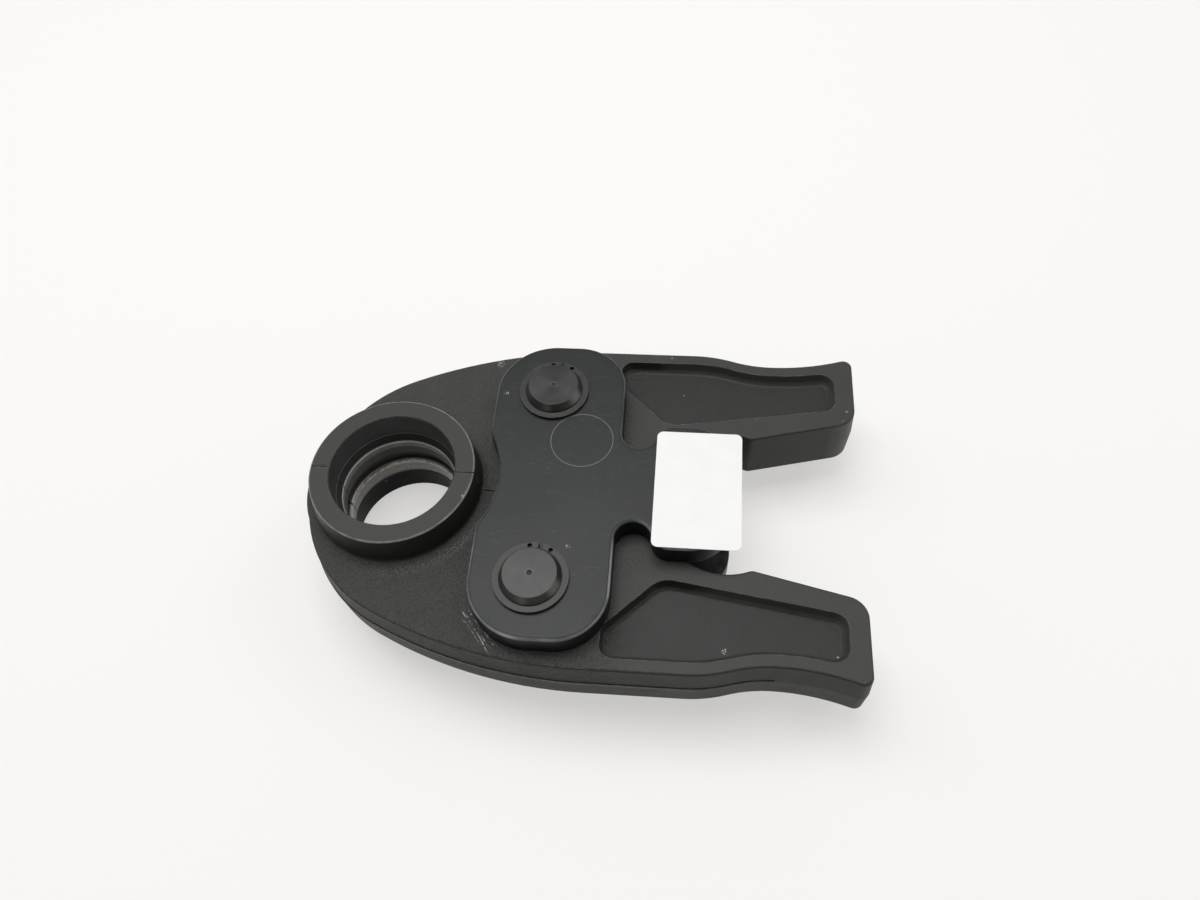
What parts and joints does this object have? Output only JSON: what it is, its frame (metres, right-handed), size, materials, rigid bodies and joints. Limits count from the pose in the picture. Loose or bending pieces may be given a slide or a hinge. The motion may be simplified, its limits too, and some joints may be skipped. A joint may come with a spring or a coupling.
{
  "type": "press fitting tool jaw",
  "caption": "Press jaw with forged levers on pivot pins between side plates; its ring closes round a pipe fitting to press it.",
  "frame": {"origin": "centre of the tool pin bore, on the middle plane between the side plates", "axes": "+X forward to the press contour, +Y to the left lever, +Z along the pins out of the top side plate"},
  "size_m": [0.1513, 0.1002, 0.038],
  "materials": {
    "forged_lever": "matt black phosphate",
    "side_plate": "satin black oxide, polished edge",
    "pivot_pin": "turned, black oxide, satin",
    "retaining_ring": "phosphated spring steel",
    "spring_wire": "drawn spring wire"
  },
  "bodies": {
    "side_plates": {"side_plate_top": "side_plate", "side_plate_bottom": "side_plate", "pivot_pin_left": "pivot_pin", "pivot_pin_right": "pivot_pin", "retaining_ring_left_top": "retaining_ring", "retaining_ring_left_bottom": "retaining_ring", "retaining_ring_right_top": "retaining_ring", "retaining_ring_right_bottom": "retaining_ring", "closing_spring": "spring_wire"},
    "left_lever": {"jaw_lever_left": "forged_lever"},
    "right_lever": {"jaw_lever_right": "forged_lever"}
  },
  "joints": [
    {"name": "left_lever_pivot", "type": "hinge", "parent": "side_plates", "child": "left_lever", "pos_m": [0.0372, 0.0291, 0], "axis": [0, 0, 1], "range_deg": [0, 17], "stiffness_Nm_per_rad": 1.5, "springref_deg": -20.05, "deforming": ["closing_spring"]},
    {"name": "right_lever_pivot", "type": "hinge", "parent": "side_plates", "child": "right_lever", "pos_m": [0.0372, -0.0291, 0], "axis": [0, 0, -1], "range_deg": [0, 17], "stiffness_Nm_per_rad": 1.5, "springref_deg": -20.05, "deforming": ["closing_spring"]}
  ]
}
